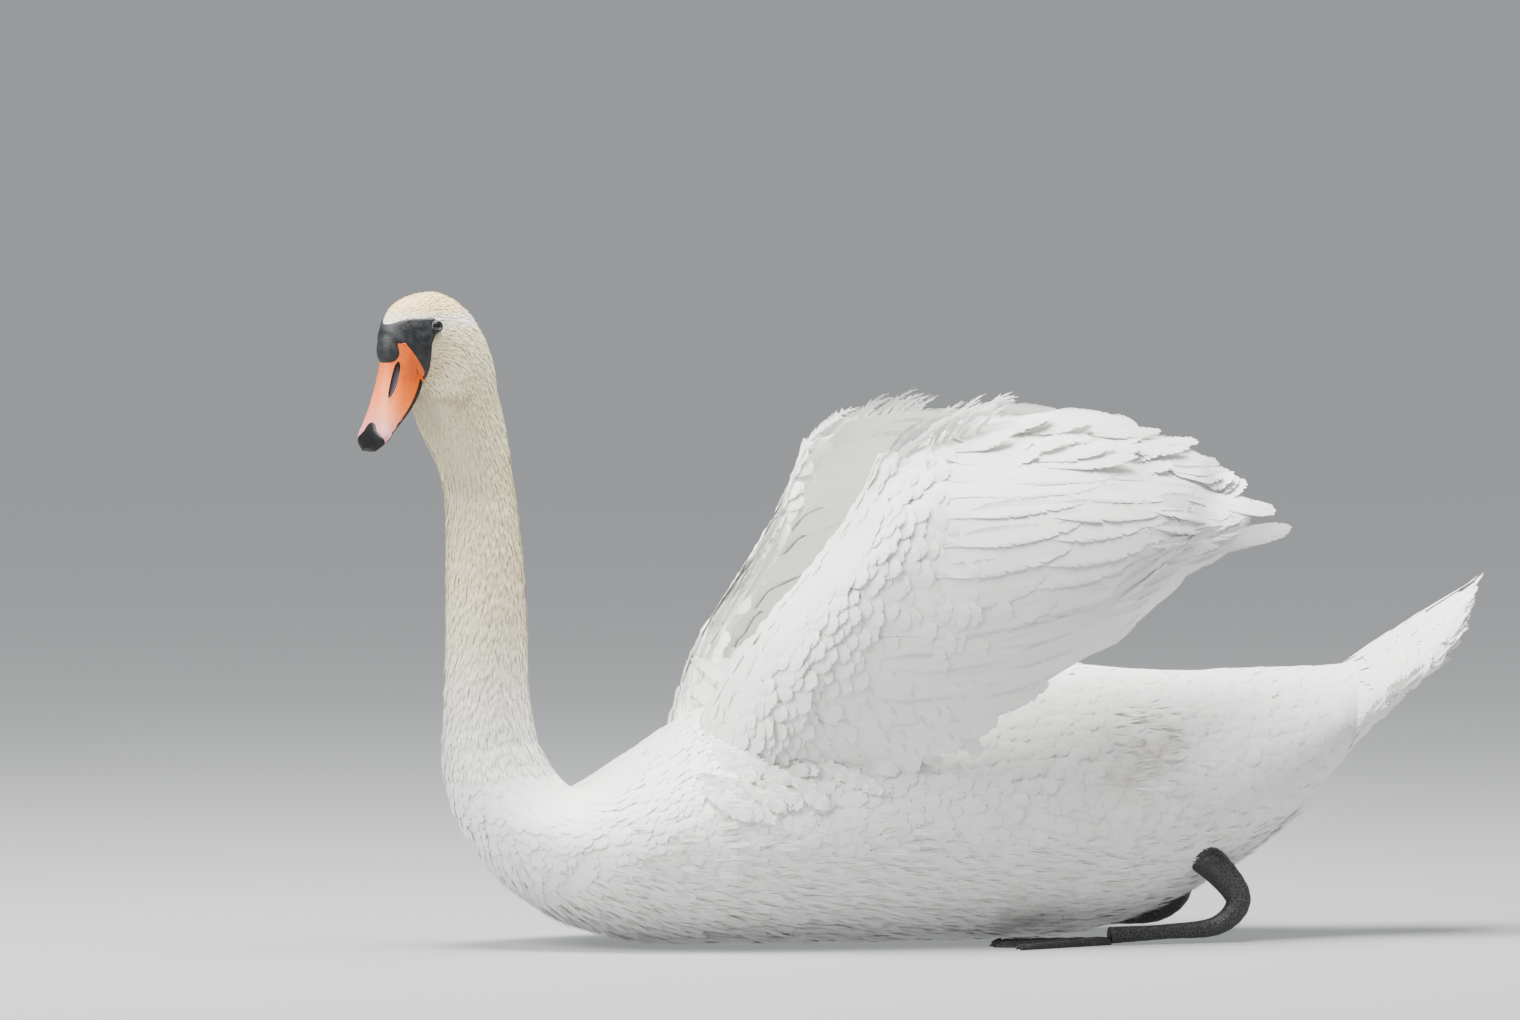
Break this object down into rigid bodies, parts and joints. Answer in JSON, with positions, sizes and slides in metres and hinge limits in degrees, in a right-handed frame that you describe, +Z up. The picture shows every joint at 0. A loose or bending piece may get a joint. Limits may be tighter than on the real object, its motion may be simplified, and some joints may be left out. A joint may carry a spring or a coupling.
{
  "type": "mute swan",
  "caption": "Still, life-size mute swan afloat with arched wings, upright neck and its head turned and tipped down, resting on its belly.",
  "frame": {"origin": "centre of the bounding box at the belly flat, on the floor", "axes": "+X from head to tail along the longest extent, -Y the bird's left side, +Z up"},
  "size_m": [0.9574, 0.3794, 0.5356],
  "materials": {
    "white_feathers": "soft matt contour and flight feathers",
    "ivory_feathers": "short silky feathers, stained ivory",
    "orange_bill": "satin horn, orange fading to pink",
    "black_skin": "fine-grained bare skin",
    "eye": "wet gloss",
    "leg_skin": "scaled and webbed skin"
  },
  "bodies": {
    "root": {"trunk": "white_feathers", "tail": "white_feathers", "wing_left_forewing": "white_feathers", "wing_left_secondaries": "white_feathers", "wing_left_primaries": "white_feathers", "wing_right_forewing": "white_feathers", "wing_right_secondaries": "white_feathers", "wing_right_primaries": "white_feathers", "neck_lower": "ivory_feathers", "neck_middle": "ivory_feathers", "neck_upper": "ivory_feathers", "head": "ivory_feathers", "bill_upper": "orange_bill", "bill_lower": "black_skin", "bill_knob": "black_skin", "eye_left": "eye", "eye_right": "eye", "leg_left": "leg_skin", "leg_right": "leg_skin", "foot_left": "leg_skin", "foot_right": "leg_skin"}
  },
  "joints": []
}
